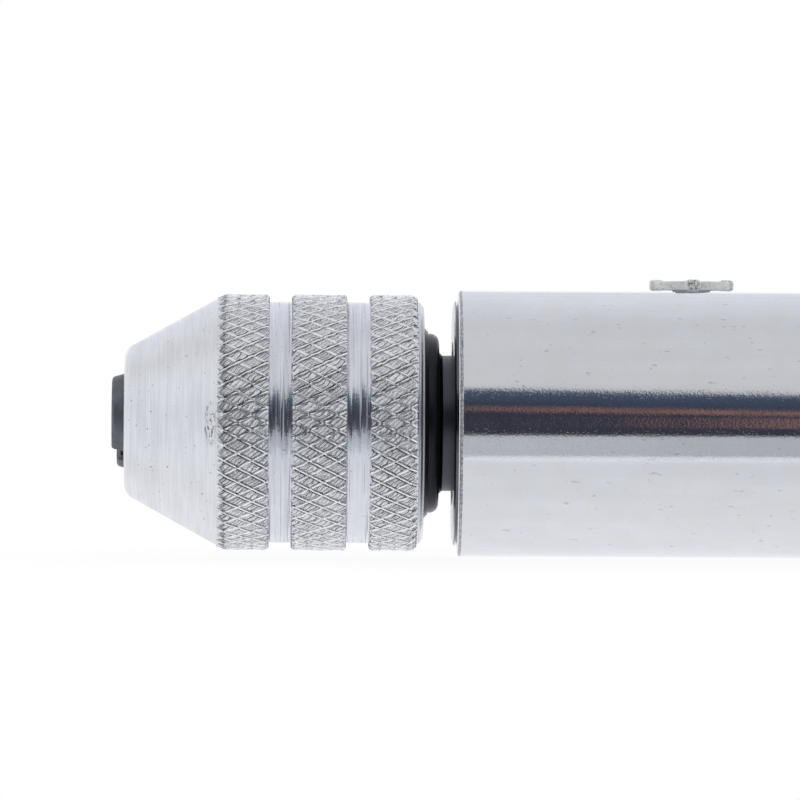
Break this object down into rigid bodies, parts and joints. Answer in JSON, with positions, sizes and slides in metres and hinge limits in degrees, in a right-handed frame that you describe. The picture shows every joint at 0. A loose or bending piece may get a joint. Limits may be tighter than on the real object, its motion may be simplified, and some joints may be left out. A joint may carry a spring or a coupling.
{
  "type": "ratchet tap wrench",
  "caption": "T-handle ratchet tap wrench: knurled two-jaw chuck for small tap squares, round barrel, three-place selector, sliding cross bar.",
  "frame": {"origin": "on the tool's axis at the front face of the chuck nut, at the mouth where the tap goes in", "axes": "+X along the tool from the nose to the T-handle, +Z out through the selector knob, +Y along the T-bar"},
  "size_m": [0.085, 0.08, 0.0217],
  "materials": {
    "knurled_zinc_steel": "satin zinc plate over diamond-knurled turned steel",
    "blackened_steel": "smooth black oxide",
    "hardened_jaw_steel": "dark hardened steel, lightly ground",
    "spring_wire": "drawn spring wire",
    "plain_steel": "turned steel",
    "polished_chrome": "bright plated steel with fine scratches",
    "satin_cap_steel": "turned and plated",
    "bronze_bush": "sintered bronze",
    "bearing_ball": "polished ball steel",
    "cast_zinc": "rough die-cast and plated",
    "bar_chrome": "bright plated bar"
  },
  "bodies": {
    "barrel": {"barrel": "polished_chrome", "front_cap": "satin_cap_steel", "front_bush": "bronze_bush", "rear_bush": "bronze_bush", "thrust_ball": "bearing_ball", "thrust_washer": "plain_steel", "pawl_pin": "plain_steel", "handle_detent_ball": "bearing_ball", "handle_detent_spring": "spring_wire", "handle_detent_screw": "blackened_steel"},
    "spindle": {"spindle": "blackened_steel", "ratchet_wheel": "plain_steel", "wheel_cross_pin": "plain_steel", "jaw_springs": "spring_wire"},
    "nut_carrier": {"nut_retaining_ring": "blackened_steel"},
    "nut": {"chuck_nut": "knurled_zinc_steel"},
    "upper_jaw": {"upper_jaw": "hardened_jaw_steel"},
    "lower_jaw": {"lower_jaw": "hardened_jaw_steel"},
    "selector": {"selector_knob": "cast_zinc", "selector_clip": "spring_wire", "pawl_plunger": "plain_steel", "plunger_spring": "spring_wire"},
    "pawl": {"rocker_pawl": "hardened_jaw_steel"},
    "cross_bar": {"t_bar": "bar_chrome", "left_end_cap": "bar_chrome", "right_end_cap": "bar_chrome"}
  },
  "joints": [
    {"name": "spindle_spin", "type": "hinge", "parent": "barrel", "child": "spindle", "pos_m": [0, 0, 0], "axis": [1, 0, 0], "continuous": true},
    {"name": "nut_advance", "type": "slide", "parent": "spindle", "child": "nut_carrier", "axis": [1, 0, 0], "range_m": [-0.0064, 0.0012]},
    {"name": "nut_turn", "type": "hinge", "parent": "nut_carrier", "child": "nut", "pos_m": [0, 0, 0], "axis": [1, 0, 0], "range_deg": [-2304, 432]},
    {"name": "upper_jaw_slide", "type": "slide", "parent": "spindle", "child": "upper_jaw", "axis": [0, 0.7826, -0.6225], "range_m": [-0.00184, 0.00035], "deforming": ["jaw_springs"]},
    {"name": "lower_jaw_slide", "type": "slide", "parent": "spindle", "child": "lower_jaw", "axis": [0, -0.7826, 0.6225], "range_m": [-0.00184, 0.00035]},
    {"name": "selector_turn", "type": "hinge", "parent": "barrel", "child": "selector", "pos_m": [0.04422, 0, 0.0105], "axis": [0, 0, 1], "range_deg": [-45, 45]},
    {"name": "pawl_rock", "type": "hinge", "parent": "barrel", "child": "pawl", "pos_m": [0.04422, 0, 0.0071], "axis": [1, 0, 0], "range_deg": [-9.1, 9.1]},
    {"name": "t_bar_slide", "type": "slide", "parent": "barrel", "child": "cross_bar", "axis": [0, 1, 0], "range_m": [-0.0305, 0.0145]}
  ],
  "couplings": [
    {"joint": "nut_turn", "follows": "nut_advance", "rad_per_m": 6283.2},
    {"joint": "upper_jaw_slide", "follows": "nut_advance", "ratio": 0.28675},
    {"joint": "lower_jaw_slide", "follows": "nut_advance", "ratio": 0.28675},
    {"joint": "pawl_rock", "follows": "selector_turn", "ratio": 0.2}
  ]
}
